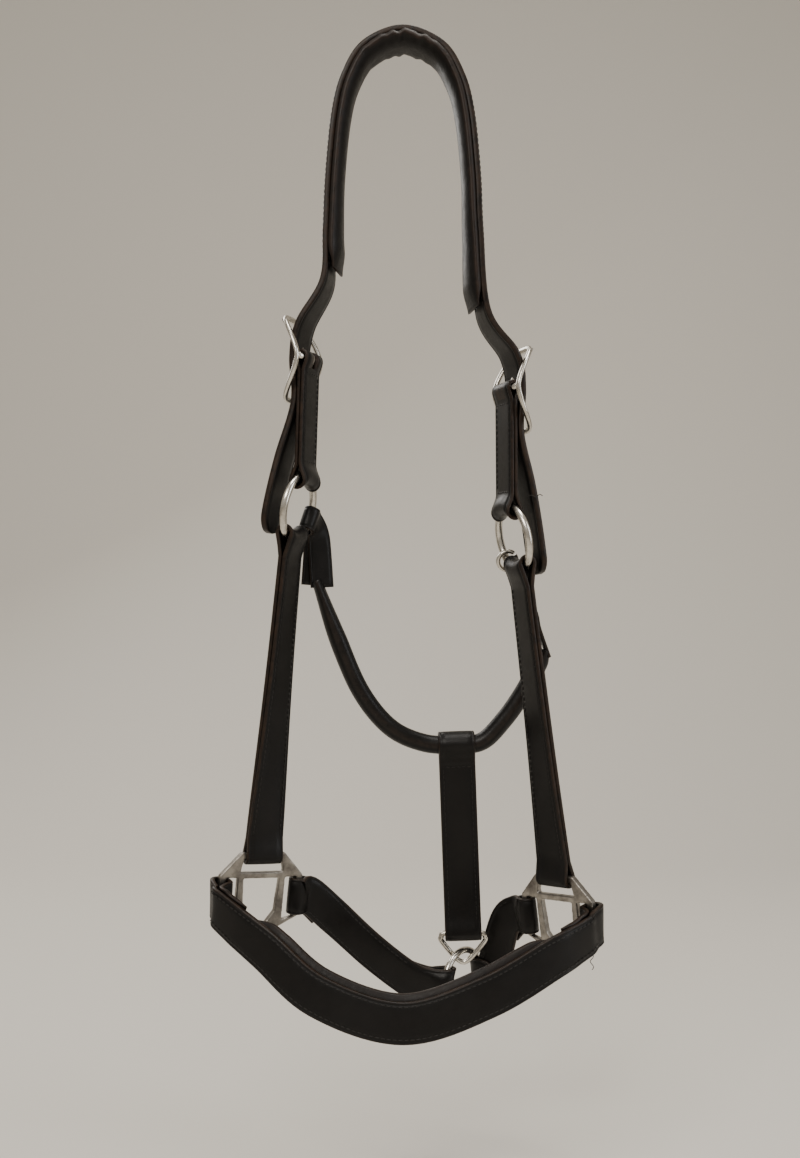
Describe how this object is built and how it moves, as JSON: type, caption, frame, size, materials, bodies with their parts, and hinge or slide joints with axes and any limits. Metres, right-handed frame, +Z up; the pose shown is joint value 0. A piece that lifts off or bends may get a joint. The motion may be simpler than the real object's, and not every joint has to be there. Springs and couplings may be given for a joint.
{
  "type": "leather headcollar",
  "caption": "Padded leather horse headcollar with buckled crown, cheek rings, halter squares, noseband, lead ring, jowl strap and a clip-on rolled throatlatch.",
  "frame": {"origin": "middle of the underside of the padded crown, where the hook or the horse's poll carries it", "axes": "+Z up along the hanging headcollar, -Y towards the noseband (front), +X to the right seen from the front"},
  "size_m": [0.2585, 0.1265, 0.659],
  "materials": {
    "black_leather": "satin bridle leather",
    "lining_leather": "soft padded leather",
    "rolled_leather": "satin rolled leather",
    "bright_nickel": "polished nickel",
    "cast_nickel": "cast, nickel plated, worn"
  },
  "bodies": {
    "crown": {"crown_strap": "black_leather", "crown_lining": "lining_leather", "left_chape": "black_leather", "right_chape": "black_leather"},
    "left_buckle": {"left_buckle_frame": "bright_nickel"},
    "right_buckle": {"right_buckle_frame": "bright_nickel"},
    "left_tongue": {"left_buckle_tongue": "cast_nickel"},
    "right_tongue": {"right_buckle_tongue": "cast_nickel"},
    "left_ring": {"left_cheek_ring": "bright_nickel"},
    "right_ring": {"right_cheek_ring": "bright_nickel"},
    "face": {"left_cheekpiece": "black_leather", "right_cheekpiece": "black_leather", "left_square": "cast_nickel", "right_square": "cast_nickel", "noseband_strap": "black_leather", "noseband_lining": "lining_leather", "left_chin_strap": "black_leather", "right_chin_strap": "black_leather"},
    "chin_ring": {"lead_ring": "bright_nickel"},
    "throat": {"throat_roll": "rolled_leather", "left_throat_tab": "black_leather", "right_throat_tab": "black_leather", "snap_body": "bright_nickel", "snap_pin": "cast_nickel"},
    "gate": {"snap_gate": "cast_nickel"},
    "jowl": {"jowl_strap": "black_leather"},
    "link": {"jowl_link": "bright_nickel"}
  },
  "joints": [
    {"name": "left_buckle_rock", "type": "hinge", "parent": "crown", "child": "left_buckle", "pos_m": [-0.062, 0, -0.203], "axis": [-0.342, -0.9397, 0], "range_deg": [-2, 2]},
    {"name": "right_buckle_rock", "type": "hinge", "parent": "crown", "child": "right_buckle", "pos_m": [0.068, 0, -0.223], "axis": [-0.342, 0.9397, 0], "range_deg": [-2, 2]},
    {"name": "left_tongue_lift", "type": "hinge", "parent": "left_buckle", "child": "left_tongue", "pos_m": [-0.062, 0, -0.203], "axis": [-0.342, -0.9397, 0], "range_deg": [0, 3]},
    {"name": "right_tongue_lift", "type": "hinge", "parent": "right_buckle", "child": "right_tongue", "pos_m": [0.068, 0, -0.223], "axis": [-0.342, 0.9397, 0], "range_deg": [0, 3]},
    {"name": "left_ring_turn", "type": "hinge", "parent": "crown", "child": "left_ring", "pos_m": [-0.069, 0, -0.301], "axis": [-0.9192, 0.342, 0.1954], "continuous": true},
    {"name": "right_ring_turn", "type": "hinge", "parent": "crown", "child": "right_ring", "pos_m": [0.073, 0, -0.321], "axis": [0.9192, 0.342, 0.1954], "continuous": true},
    {"name": "face_swing", "type": "hinge", "parent": "crown", "child": "face", "pos_m": [0.002, 0, -0.311], "axis": [0.9902, 0, -0.1395], "range_deg": [-4, 4]},
    {"name": "throat_swing", "type": "hinge", "parent": "crown", "child": "throat", "pos_m": [0.002, 0, -0.311], "axis": [0.9902, 0, -0.1395], "range_deg": [-4, 4]},
    {"name": "lead_ring_turn", "type": "hinge", "parent": "face", "child": "chin_ring", "pos_m": [0.041, 0.036, -0.624], "axis": [-0.766, 0.6428, 0], "continuous": true},
    {"name": "jowl_swing", "type": "hinge", "parent": "throat", "child": "jowl", "pos_m": [0.037, 0.038, -0.4625], "axis": [1, 0, 0], "range_deg": [-0.6, 0.6]},
    {"name": "link_swing", "type": "hinge", "parent": "jowl", "child": "link", "pos_m": [0.0416, 0.036, -0.592], "axis": [1, 0, 0], "range_deg": [-2, 2]},
    {"name": "snap_gate_open", "type": "hinge", "parent": "throat", "child": "gate", "pos_m": [0.07751, 0.018, -0.33998], "axis": [-0.1738, 0.9477, 0.2679], "range_deg": [-10, 0], "stiffness_Nm_per_rad": 0.004, "springref_deg": 2.86}
  ],
  "couplings": [
    {"joint": "throat_swing", "follows": "face_swing", "ratio": 1}
  ]
}
